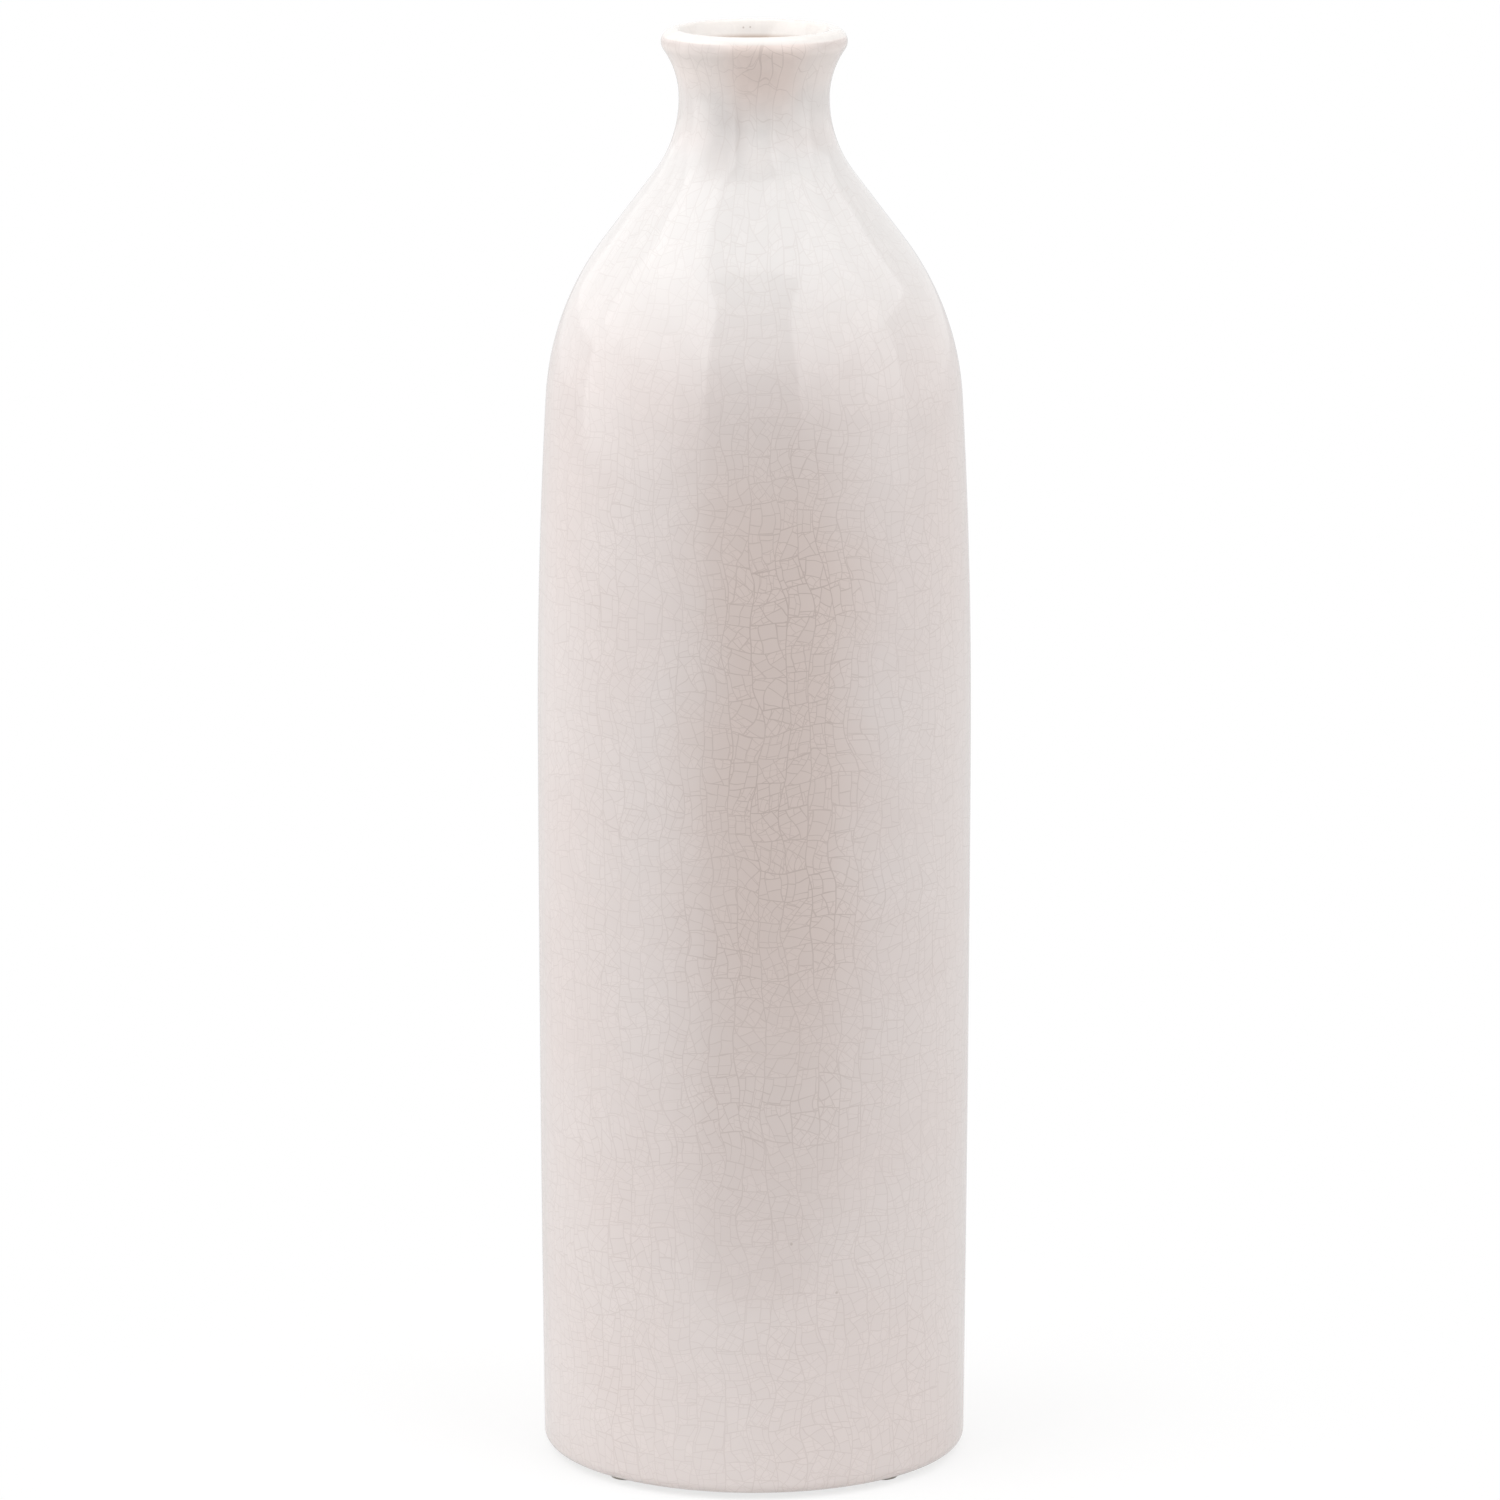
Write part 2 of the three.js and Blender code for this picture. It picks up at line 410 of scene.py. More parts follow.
# Slow clouds of warmer and cooler glaze, with rare dots of iron
def makeGlazeTone():
    tree, given, out = newGroup("glazeTone", [
        ("Place", "NodeSocketVector", (0, 0, 0)),
        ("Body", "NodeSocketColor", rgb(0.69, 0.617, 0.591)),
        ("Warm", "NodeSocketColor", rgb(0.7, 0.61, 0.55)),
        ("Cloud Scale", "NodeSocketFloat", 22),
        ("Cloud Strength", "NodeSocketFloat", 0.5),
        ("Dot Amount", "NodeSocketFloat", 0.5),
    ], [("Color", "NodeSocketColor")])
    clouds = addNode(tree, "ShaderNodeTexNoise", Vector=given["Place"], Scale=given["Cloud Scale"], Detail=3)
    warmer = ramp(tree, clouds.outputs["Fac"], 0.38, 0.66)
    warmth = maths(tree, "MULTIPLY", warmer, given["Cloud Strength"])
    clouded = mixColour(tree, warmth, given["Body"], given["Warm"])
    cells = addNode(tree, "ShaderNodeTexVoronoi", {"feature": "F1"}, Vector=given["Place"],
                    Scale=ironDots["cells"], Randomness=1)
    chosen = addNode(tree, "ShaderNodeSeparateColor", Color=cells.outputs["Color"])
    rare = maths(tree, "GREATER_THAN", chosen.outputs["Red"], ironDots["rareAbove"])
    size = ramp(tree, chosen.outputs["Green"], 0, 1, *ironDots["sizes"], smooth=False)
    dot = maths(tree, "LESS_THAN", cells.outputs["Distance"], size)
    amount = maths(tree, "MULTIPLY", maths(tree, "MULTIPLY", dot, rare), given["Dot Amount"])
    feed(tree, out["Color"], mixColour(tree, amount, clouded, ironDots["tone"]))
    return tree


# How far apart the cells of one generation lie in the noise and in the strips, so that no two are alike
cellSpread = {
    "bends": 97,
    "columns": 61.7,
    "rows": 53.1,
}
noiseSwing = 4      # noise stays within about a quarter of its middle


# One generation of craze lines: columns across a cell and staggered rungs between them
def makeCrazeLevel():
    tree, given, out = newGroup("crazeLevel", [
        ("Across", "NodeSocketFloat", 0),
        ("Along", "NodeSocketFloat", 0),
        ("Column", "NodeSocketFloat", 12),
        ("Row", "NodeSocketFloat", 12),
        ("Stretch", "NodeSocketFloat", 1),
        ("Turn", "NodeSocketFloat", 0),
        ("Bend", "NodeSocketFloat", 1),
        ("Bend Length", "NodeSocketFloat", 8),
        ("Randomness", "NodeSocketFloat", 0.7),
        ("Seed", "NodeSocketFloat", 0),
    ], [
        ("Distance", "NodeSocketFloat"),
        ("Across In Cell", "NodeSocketFloat"),
        ("Along In Cell", "NodeSocketFloat"),
        ("Cell Seed", "NodeSocketFloat"),
    ])
    angle = maths(tree, "MULTIPLY", maths(tree, "SUBTRACT", given["Seed"], 0.5), given["Turn"])
    flat = addNode(tree, "ShaderNodeCombineXYZ", X=given["Across"], Y=given["Along"])
    turnedPlace = addNode(tree, "ShaderNodeVectorRotate", {"rotation_type": "Z_AXIS"},
                          Vector=flat.outputs[0], Angle=angle)
    apart = maths(tree, "MULTIPLY", given["Seed"], cellSpread["bends"])
    inBends = addNode(tree, "ShaderNodeCombineXYZ", X=given["Across"], Y=given["Along"],
                      Z=maths(tree, "MULTIPLY", apart, given["Bend Length"]))
    bends = addNode(tree, "ShaderNodeTexNoise", Vector=inBends.outputs[0], Detail=1,
                    Scale=maths(tree, "DIVIDE", 1, given["Bend Length"]))
    centred = addNode(tree, "ShaderNodeVectorMath", {"operation": "SUBTRACT"}, Vector=bends.outputs["Color"])
    centred.inputs[1].default_value = (0.5, 0.5, 0.5)
    swing = addNode(tree, "ShaderNodeVectorMath", {"operation": "SCALE"}, Vector=centred.outputs[0],
                    Scale=maths(tree, "MULTIPLY", given["Bend"], noiseSwing))
    bent = addNode(tree, "ShaderNodeVectorMath", {"operation": "ADD"}, Vector=turnedPlace.outputs[0])
    feed(tree, bent.inputs[1], swing.outputs[0])
    place = addNode(tree, "ShaderNodeSeparateXYZ", Vector=bent.outputs[0])

    def strip(along, size, offset):
        at = maths(tree, "ADD", maths(tree, "DIVIDE", along, size), offset)
        oneWay = {"voronoi_dimensions": "1D"}
        cell = addNode(tree, "ShaderNodeTexVoronoi", {**oneWay, "feature": "F1"},
                       W=at, Scale=1, Randomness=given["Randomness"])
        edge = addNode(tree, "ShaderNodeTexVoronoi", {**oneWay, "feature": "DISTANCE_TO_EDGE"},
                       W=at, Scale=1, Randomness=given["Randomness"])
        inCell = maths(tree, "MULTIPLY", maths(tree, "SUBTRACT", at, cell.outputs["W"]), size)
        chance = addNode(tree, "ShaderNodeSeparateColor", Color=cell.outputs["Color"])
        return inCell, maths(tree, "MULTIPLY", edge.outputs["Distance"], size), chance.outputs

    columnOffset = maths(tree, "MULTIPLY", given["Seed"], cellSpread["columns"])
    across, acrossEdge, columnChance = strip(place.outputs["X"], given["Column"], columnOffset)
    rowOffset = maths(tree, "MULTIPLY", columnChance["Red"], cellSpread["rows"])
    along, alongEdge, rowChance = strip(place.outputs["Y"], given["Row"], rowOffset)
    bothChances = maths(tree, "ADD", columnChance["Green"], rowChance["Red"])
    seed = maths(tree, "FRACT", maths(tree, "ADD", bothChances, given["Seed"]))
    sideways = maths(tree, "MULTIPLY", acrossEdge, given["Stretch"])
    feed(tree, out["Distance"], maths(tree, "MINIMUM", sideways, alongEdge))
    feed(tree, out["Across In Cell"], across)
    feed(tree, out["Along In Cell"], along)
    feed(tree, out["Cell Seed"], seed)
    return tree


# A soft-edged line of a given width round distance 0
def crackLine(tree, distance, width, strength):
    return ramp(tree, distance, *(share * width for share in crackEdge), strength, 0)


glazeTone = makeGlazeTone()
crazeLevel = makeCrazeLevel()


def useGroup(tree, group, **sockets):
    node = tree.nodes.new("ShaderNodeGroup")
    node.node_tree = group
    for label, value in sockets.items():
        feed(tree, node.inputs[label.replace("_", " ")], value)
    return node


# Sizes in the crackle are millimetres on the glaze
crackle = {
    "body": rgb(0.702, 0.64, 0.62),
    "warm": rgb(0.69, 0.613, 0.589),
    "cloudScale": 22,
    "cloudStrength": 0.5,
    "edgeWander": {"scale": 24, "angle": 0.25},     # how the edges of the tones below stray sideways
    "stain": rgb(0.36, 0.28, 0.255),
    "stainPatches": {"scale": 38, "shares": (0.57, 0.93)},
    "belly": {      # the front of the belly: warmer glaze, darkened as painted shade for the dark room it reflects, with stronger craze lines
        "tone": rgb(0.668, 0.577, 0.541),
        "at": 0.12,
        "reach": (0.12, 0.62),
        "heights": (50, 190, 262, 318),
        "lines": (0.78, 1.65),
    },
    "paintedLightAndShadeZones": [      # heights where a tone comes in and goes out again, from the shoulder up to the lip: painted highlight, painted light and painted shade
        # neutral tint on the shoulder: painted highlight, for the whitening its highlights give
        {"heights": (304, 350, 366, 378), "tone": rgb(0.668, 0.643, 0.63)},
        # neutral, slightly lighter tint on the neck: painted highlight
        {"heights": (368, 378, 384, 394), "tone": rgb(0.69, 0.65, 0.631)},
        # whiter band over the flare and lip: painted light where the lip faces up
        {"heights": (382, 392, 400, 402), "tone": rgb(0.788, 0.717, 0.682)},
        # darker line just under the crest: painted shade below the lip's rounding
        {"heights": (396.6, 398.9, 399.3, 399.9), "tone": rgb(0.645, 0.574, 0.546)},
    ],
    "patch": {      # beige on the front, under the lip
        "tone": rgb(0.758, 0.65, 0.604),
        "at": 0.12,
        "reach": (0.2, 0.65),
        "heights": (374, 391, 400, 402),
        "lines": (1, 1.8),
    },
    "paintedNeckShadeAndLight": [      # on the neck: painted shade left of the front and painted light at the front
        {"at": -0.4, "reach": (0, 0.33), "heights": (359, 369, 378, 387), "tone": rgb(0.585, 0.55, 0.535)},
        {"at": 0.06, "reach": (0, 0.26), "heights": (361, 370, 377, 387), "tone": rgb(0.735, 0.7, 0.683)},
    ],
    # whiter on the crest and inside the lip: painted light where the lip faces up
    "lip": rgb(0.735, 0.7, 0.672),
    "crest": (399.3, 400.2),
    "liningEnd": (380, 392),
    # painted shade inside the mouth, where it turns down into the dark neck
    "paintedThroatShade": rgb(0.46, 0.355, 0.285),
    "throatHeights": (386, 394.5, 396.4, 398.1),
    "specks": [     # where iron shows through, how large and how dark
        {"at": (-3.0, 20.4, 399.3), "radius": 0.4, "share": 0.6},
        {"at": (-1.1, 20.4, 399.4), "radius": 0.35, "share": 0.6},
        {"at": (10.2, -59.1, 73.3), "radius": 0.5, "share": 0.4},
        {"at": (22.7, -55.3, 58.5), "radius": 0.5, "share": 0.4},
    ],
    "iron": rgb(0.33, 0.26, 0.22),
    "speckSqueeze": 0.2,        # so that a speck reaches through the glaze from front to back
    "insideFrom": {"heights": (382, 398), "radii": (18, 22)},       # nearer the axis is inside the mouth
    "wallRadius": 59.0,
    "neckRadius": 21.0,
    "shoulderFrom": 300.0,
    "neckAt": 378.0,
    "bend": 1.0,
    "bendScale": 90.0,
    "patterns": {       # one value per generation of lines; randomness 0 would space them evenly
        "wall": {
            "seed": 0.37,
            "columns": (6.8, 3.5, 2.2),
            "rows": (7.6, 3.5, 2.2),
            "turns": (0.2, 1.2, 1.2),
            "bends": (2.8, 0.6, 0.25),
            "bendLengths": (26.0, 7.0, 3.5),
            "randomness": 0.62,
        },
        "neck": {
            "seed": 0.61,
            "columns": (13.0, 3.8),
            "rows": (7.4, 3.8),
            "turns": (0.9, 1.7),
            "bends": (3.8, 0.8),
            "bendLengths": (20.0, 7.0),
            "randomness": 0.9,
        },
    },
    "neckPatternHeights": (360, 372),
    "split": 0.5,           # share of the cells that the finest lines leave whole
    "widths": (0.26, 0.24, 0.2),
    "strengths": (0.3, 0.265, 0.2),
    "seam": math.pi,        # the back, where the pattern's ends meet in one more craze line
    "shoulderLinesUnderPaintedHighlight": {"heights": (270, 330), "share": 0.7},     # fainter on the shoulder: painted highlight washing the lines out
    # what is left of the craze lines under the painted light on the lip
    "lipShare": 0.15,
    "cellShade": 0.97,      # the darkest cell between the lines
    "roughness": 0.07,
    "roughnessShares": (0.8, 1.3),
    "roughLines": 0.2,
    "ripples": {"scale": 260, "share": 0.25},
    "bump": 0.5,
    "relief": 0.00002,
}


def makeCrackleGlaze():
    material, tree, shader = newMaterial("crackleGlaze")
    place = objectPlace(tree)
    bend = addNode(tree, "ShaderNodeTexNoise", Vector=place, Scale=crackle["bendScale"], Detail=2,
                   Roughness=0.45)
    bends = addNode(tree, "ShaderNodeSeparateColor", Color=bend.outputs["Color"])
    at = addNode(tree, "ShaderNodeSeparateXYZ", Vector=place)
    inMm = addNode(tree, "ShaderNodeVectorMath", {"operation": "SCALE"}, Vector=place, Scale=1000)
    mm = addNode(tree, "ShaderNodeSeparateXYZ", Vector=inMm.outputs[0])
    front = maths(tree, "MULTIPLY", at.outputs["Y"], -1)
    angle = maths(tree, "ARCTAN2", at.outputs["X"], front)

    def shifted(value, channel):
        swing = maths(tree, "MULTIPLY", maths(tree, "SUBTRACT", channel, 0.5), 2 * crackle["bend"])
        return maths(tree, "ADD", value, swing)

    def radiusAt(height):
        ends = (crackle["shoulderFrom"], crackle["neckAt"])
        return ramp(tree, height, *ends, crackle["wallRadius"], crackle["neckRadius"])

    stretch = maths(tree, "DIVIDE", radiusAt(mm.outputs["Z"]), crackle["wallRadius"])
    girth = maths(tree, "MULTIPLY", angle, crackle["wallRadius"])
    swingRound = maths(tree, "DIVIDE", maths(tree, "SUBTRACT", bends.outputs["Red"], 0.5), stretch)
    girth = maths(tree, "ADD", girth, maths(tree, "MULTIPLY", swingRound, 2 * crackle["bend"]))
    up = shifted(mm.outputs["Z"], bends.outputs["Green"])

    def crazing(pattern):
        levels = []
        across, along, seed, levelStretch = girth, up, pattern["seed"], stretch
        for i in range(len(pattern["columns"])):
            level = useGroup(tree, crazeLevel, Across=across, Along=along, Column=pattern["columns"][i],
                             Row=pattern["rows"][i], Turn=pattern["turns"][i], Bend=pattern["bends"][i],
                             Bend_Length=pattern["bendLengths"][i], Randomness=pattern["randomness"],
                             Stretch=levelStretch, Seed=seed)
            levels.append(level.outputs)
            across, along, seed = (level.outputs[k] for k in ("Across In Cell", "Along In Cell", "Cell Seed"))
            if i == 0:
                centre = maths(tree, "SUBTRACT", up, along)
                share = maths(tree, "DIVIDE", radiusAt(centre), crackle["wallRadius"])
                across = maths(tree, "MULTIPLY", across, share)
            levelStretch = 1
        lines = [crackLine(tree, level["Distance"], w, s)
                 for level, w, s in zip(levels, crackle["widths"], crackle["strengths"])]
        finest = maths(tree, "GREATER_THAN", levels[-2]["Cell Seed"], crackle["split"])
        lines[-1] = maths(tree, "MULTIPLY", lines[-1], finest)
        darkest = lines[0]
        for fainter in lines[1:]:
            darkest = maths(tree, "MAXIMUM", darkest, fainter)
        return darkest, levels[1]["Cell Seed"]

    wallLines, cellSeed = crazing(crackle["patterns"]["wall"])
    neckLines = crazing(crackle["patterns"]["neck"])[0]
    atNeck = ramp(tree, mm.outputs["Z"], *crackle["neckPatternHeights"])
    crack = maths(tree, "ADD", maths(tree, "MULTIPLY", wallLines, maths(tree, "SUBTRACT", 1, atNeck)),
                  maths(tree, "MULTIPLY", neckLines, atNeck))
    beside = maths(tree, "SUBTRACT", crackle["seam"], maths(tree, "ABSOLUTE", angle))
    fromSeam = maths(tree, "MULTIPLY", beside, radiusAt(mm.outputs["Z"]))
    seamLine = crackLine(tree, fromSeam, crackle["widths"][0], crackle["strengths"][0])
    crack = maths(tree, "MAXIMUM", crack, seamLine)
    wander = addNode(tree, "ShaderNodeTexNoise", Vector=place, Scale=crackle["edgeWander"]["scale"], Detail=3)
    most = crackle["edgeWander"]["angle"]
    sway = ramp(tree, wander.outputs["Fac"], 0, 1, -most, most, smooth=False)
    height = mm.outputs["Z"]

    def onFront(spot):
        aside = maths(tree, "ABSOLUTE", maths(tree, "SUBTRACT", angle, spot["at"]))
        near = ramp(tree, maths(tree, "ADD", aside, sway), *spot["reach"], 1, 0)
        return maths(tree, "MULTIPLY", near, between(tree, height, *spot["heights"]))

    belly, patch = onFront(crackle["belly"]), onFront(crackle["patch"])
    flatPlace = addNode(tree, "ShaderNodeVectorMath", {"operation": "MULTIPLY"}, Vector=inMm.outputs[0])
    flatPlace.inputs[1].default_value = (1, 1, 0)
    reach = addNode(tree, "ShaderNodeVectorMath", {"operation": "LENGTH"}, Vector=flatPlace.outputs[0])
    border = crackle["insideFrom"]
    farthest = ramp(tree, height, *border["heights"], *border["radii"], smooth=False)
    inside = maths(tree, "GREATER_THAN", farthest, reach.outputs["Value"])
    insideLip = maths(tree, "MULTIPLY", inside, ramp(tree, height, *crackle["liningEnd"]))
    # painted light on the crest and inside the lip
    paintedLipLight = maths(tree, "MAXIMUM", insideLip, ramp(tree, height, *crackle["crest"]))
    # painted shade in the throat
    paintedThroatShade = maths(tree, "MULTIPLY", inside, between(tree, height, *crackle["throatHeights"]))

    patches, shoulder = crackle["stainPatches"], crackle["shoulderLinesUnderPaintedHighlight"]
    stainNoise = addNode(tree, "ShaderNodeTexNoise", Vector=place, Scale=patches["scale"], Detail=3)
    shares = [
        ramp(tree, stainNoise.outputs["Fac"], *noiseSpan, *patches["shares"]),
        ramp(tree, belly, 0, 1, *crackle["belly"]["lines"], smooth=False),
        # craze lines fainter on the shoulder: painted highlight
        ramp(tree, height, *shoulder["heights"], 1, shoulder["share"]),
        ramp(tree, patch, 0, 1, *crackle["patch"]["lines"], smooth=False),
        ramp(tree, paintedLipLight, 0, 1, 1, crackle["lipShare"], smooth=False),
    ]
    for share in shares:
        crack = maths(tree, "MULTIPLY", crack, share)

    tone = useGroup(tree, glazeTone, Place=place, Body=crackle["body"], Warm=crackle["warm"],
                    Cloud_Scale=crackle["cloudScale"], Cloud_Strength=crackle["cloudStrength"])
    cellShade = ramp(tree, cellSeed, 0, 1, crackle["cellShade"], 1, smooth=False)
    cellColour = addNode(tree, "ShaderNodeCombineColor", Red=cellShade, Green=cellShade, Blue=cellShade)
    # painted shade on the front of the belly, over a warmer glaze
    colour = mixColour(tree, belly, tone.outputs["Color"], crackle["belly"]["tone"])
    # painted highlight, painted light and painted shade by height
    for zone in crackle["paintedLightAndShadeZones"]:
        colour = mixColour(tree, between(tree, height, *zone["heights"]), colour, zone["tone"])
    # painted shade and painted light on the neck
    for spot in crackle["paintedNeckShadeAndLight"]:
        colour = mixColour(tree, onFront(spot), colour, spot["tone"])
    colour = mixColour(tree, patch, colour, crackle["patch"]["tone"])
    # painted light on the lip
    colour = mixColour(tree, paintedLipLight, colour, crackle["lip"])
    colour = mixColour(tree, paintedThroatShade, colour, crackle["paintedThroatShade"])
    colour = mixColour(tree, 1, colour, cellColour.outputs[0], "MULTIPLY")
    squeeze = crackle["speckSqueeze"]
    squeezed = addNode(tree, "ShaderNodeVectorMath", {"operation": "MULTIPLY"}, Vector=inMm.outputs[0])
    squeezed.inputs[1].default_value = (1, squeeze, 1)
    for speck in crackle["specks"]:
        x, y, z = speck["at"]
        off = addNode(tree, "ShaderNodeVectorMath", {"operation": "DISTANCE"}, Vector=squeezed.outputs[0])
        off.inputs[1].default_value = (x, squeeze * y, z)
        near = ramp(tree, off.outputs["Value"], 0.5 * speck["radius"], speck["radius"], speck["share"], 0)
        colour = mixColour(tree, near, colour, crackle["iron"])
    feed(tree, shader.inputs["Base Color"], mixColour(tree, crack, colour, crackle["stain"]))
    ripples = crackle["ripples"]
    ripple = addNode(tree, "ShaderNodeTexNoise", Vector=place, Scale=ripples["scale"], Detail=2)
    smoothest, roughest = (crackle["roughness"] * share for share in crackle["roughnessShares"])
    roughness = ramp(tree, ripple.outputs["Fac"], *noiseSpan, smoothest, roughest)
    roughLines = maths(tree, "MULTIPLY", crack, crackle["roughLines"])
    feed(tree, shader.inputs["Roughness"], maths(tree, "ADD", roughness, roughLines))
    rippled = maths(tree, "MULTIPLY", ripple.outputs["Fac"], ripples["share"])
    relief = maths(tree, "SUBTRACT", rippled, crack)
    bump = addNode(tree, "ShaderNodeBump", Strength=crackle["bump"], Distance=crackle["relief"],
                   Height=relief)
    feed(tree, shader.inputs["Normal"], bump.outputs["Normal"])
    shader.inputs["IOR"].default_value = glazeIor
    return material


plain = {
    "body": rgb(0.76, 0.7, 0.66),
    "warm": rgb(0.74, 0.65, 0.57),
    "cloudScale": 40,
    "cloudStrength": 0.7,
    "runScale": 130,
    "runStretch": 0.2,      # along the height, so that the runs are long
    "roughness": 0.1,
    "roughnessShares": (0.8, 1.6),
    "bump": 0.4,
    "relief": 0.0002,
}


def makePlainGlaze():
    material, tree, shader = newMaterial("plainGlaze")
    place = objectPlace(tree)
    tone = useGroup(tree, glazeTone, Place=place, Body=plain["body"], Warm=plain["warm"],
                    Cloud_Scale=plain["cloudScale"], Cloud_Strength=plain["cloudStrength"])
    feed(tree, shader.inputs["Base Color"], tone.outputs["Color"])
    drawnOut = addNode(tree, "ShaderNodeMapping", Vector=place, Scale=(1, 1, plain["runStretch"]))
    runs = addNode(tree, "ShaderNodeTexNoise", Vector=drawnOut.outputs[0], Scale=plain["runScale"], Detail=2)
    smoothest, roughest = (plain["roughness"] * share for share in plain["roughnessShares"])
    feed(tree, shader.inputs["Roughness"], ramp(tree, runs.outputs["Fac"], *noiseSpan, smoothest, roughest))
    bump = addNode(tree, "ShaderNodeBump", Strength=plain["bump"], Distance=plain["relief"],
                   Height=runs.outputs["Fac"])
    feed(tree, shader.inputs["Normal"], bump.outputs["Normal"])
    shader.inputs["IOR"].default_value = glazeIor
    return material


bisque = {
    "light": rgb(0.74, 0.65, 0.53),
    "dark": rgb(0.6, 0.49, 0.37),
    "grain": 900.0,
    "blotches": 45,
    "blotchShare": 0.4,
    "roughness": (0.78, 0.95),
    "bump": 0.6,
    "relief": 0.0001,
}


def makeFiredClay():
    material, tree, shader = newMaterial("firedClay")
    place = objectPlace(tree)
    grain = addNode(tree, "ShaderNodeTexNoise", Vector=place, Scale=bisque["grain"], Detail=4, Roughness=0.7)
    blotch = addNode(tree, "ShaderNodeTexNoise", Vector=place, Scale=bisque["blotches"], Detail=3)
    share = bisque["blotchShare"]
    mixed = maths(tree, "ADD", maths(tree, "MULTIPLY", grain.outputs["Fac"], 1 - share),
                  maths(tree, "MULTIPLY", blotch.outputs["Fac"], share))
    feed(tree, shader.inputs["Base Color"],
         mixColour(tree, ramp(tree, mixed, 0.36, 0.64), bisque["dark"], bisque["light"]))
    feed(tree, shader.inputs["Roughness"],
         ramp(tree, grain.outputs["Fac"], *noiseSpan, *bisque["roughness"]))
    bump = addNode(tree, "ShaderNodeBump", Strength=bisque["bump"], Distance=bisque["relief"],
                   Height=grain.outputs["Fac"])
    feed(tree, shader.inputs["Normal"], bump.outputs["Normal"])
    return material


felt = {
    "light": rgb(0.68, 0.64, 0.57),
    "dark": rgb(0.5, 0.46, 0.4),
    "fibre": 1400.0,
    "sides": 64,
    "edge": 0.0004,
    "fuzz": 0.00012,        # how far the rim is frayed inwards
    "fuzzScale": (900, 900, 1500),
    "fuzzFrom": 0.8,        # as a share of the pad's radius
    "sheen": 0.3,
    "bump": 0.8,
    "relief": 0.0002,
}


def makeFelt():
    material, tree, shader = newMaterial("pressedFelt")
    place = objectPlace(tree)
    drawn = addNode(tree, "ShaderNodeTexNoise", Vector=place, Scale=felt["fibre"], Detail=5, Roughness=0.75,
                    Distortion=1.5)
    feed(tree, shader.inputs["Base Color"],
         mixColour(tree, ramp(tree, drawn.outputs["Fac"], 0.35, 0.65), felt["dark"], felt["light"]))
    shader.inputs["Roughness"].default_value = 1
    shader.inputs["Sheen Weight"].default_value = felt["sheen"]
    bump = addNode(tree, "ShaderNodeBump", Strength=felt["bump"], Distance=felt["relief"],
                   Height=drawn.outputs["Fac"])
    feed(tree, shader.inputs["Normal"], bump.outputs["Normal"])
    return material


# Ring steps along each face, and sides round the vase
fineness = {
    "outerStep": 0.0014,
    "hiddenStep": 0.005,
    "innerStep": 0.0025,
    "baseFaceStep": 0.002,
    "hiddenFlatStep": 0.004,
    "uprightStep": 0.001,
    "footEdgeStep": 0.0002,
    "padFlatStep": 0.0005,
    "smallRoundStep": 0.0001,
    "outerSides": 256,
    "innerSides": 192,
}
footWrap = math.radians(75)
meetingBulge = 0.00011       # the coats' edges almost touch inside the neck


# A map that gives most of its height to the visible face, so that the fine lines stay sharp in a texture
# drawn through it
def addBakeMap(piece, section, faceCount, sides):
    shown = 0.94
    along = [0]
    for i in range(len(section)):
        along.append(along[-1] + (section[(i + 1) % len(section)] - section[i]).length)
    faceEnd, end = along[faceCount - 1], along[-1]
    heights = [shown * d / faceEnd if d <= faceEnd else shown + (1 - shown) * (d - faceEnd) / (end - faceEnd)
               for d in along]
    layer = piece.data.uv_layers.new(name="OFBake")
    corner = 0
    for low, high in zip(heights, heights[1:]):
        for j in range(sides):
            left, right = j / sides, (j + 1) / sides
            for place in ((left, low), (right, low), (right, high), (left, high)):
                layer.data[corner].uv = place
                corner += 1


def buildOuterCoat():
    fine, hidden, coat = fineness["outerStep"], fineness["hiddenStep"], vaseForm["coat"]
    face = join(outside(0, footWrap, fine), mouth(0, fine))
    back = join(outside(coat, footWrap, hidden), mouth(coat, fine))[::-1]
    section = face + bead(face[-1], back[0], meetingBulge) + back + bead(back[-1], face[0], coat / 2)
    sides = fineness["outerSides"]
    piece = turned("crackle_coat", section, sides, True, makeCrackleGlaze(), True)
    addBakeMap(piece, section, len(face), sides)
    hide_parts("outer_crackle_glaze")
    return piece


def buildLiner(glaze):
    step, coat, gap = fineness["innerStep"], vaseForm["coat"], vaseForm["touchGap"]
    back = chamber(coat, gap, 2 * step)[::-1]
    face = chamber(0, gap, step)
    section = back + bead(back[-1], face[0], meetingBulge) + face
    piece = turned("liner_coat", section, fineness["innerSides"], True, glaze)
    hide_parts("liner_glaze")
    return piece


def buildBaseCoat(glaze):
    coat, low, high = vaseForm["coat"], baseBox[0].z, baseBox[1].z
    rim, face = baseBox[1].x, baseBox[1].z - vaseForm["coat"]
    cove = 0.0005
    inner = rim - coat
    section = join(
        line(Vector((0, face)), Vector((inner - cove, face)), fineness["baseFaceStep"]),
        arc(Vector((inner - cove, face - cove)), cove, quarterTurn, 0, fineness["smallRoundStep"]),
        bead(Vector((inner, low + coat / 2)), Vector((rim, low + coat / 2)), coat / 2),
        line(Vector((rim, low + coat / 2)), Vector((rim, high)), fineness["uprightStep"]),
        line(Vector((rim, high)), Vector((0, high)), fineness["hiddenFlatStep"]),
    )
    piece = turned("base_coat", section, fineness["innerSides"], False, glaze)
    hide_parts("base_glaze")
    return piece


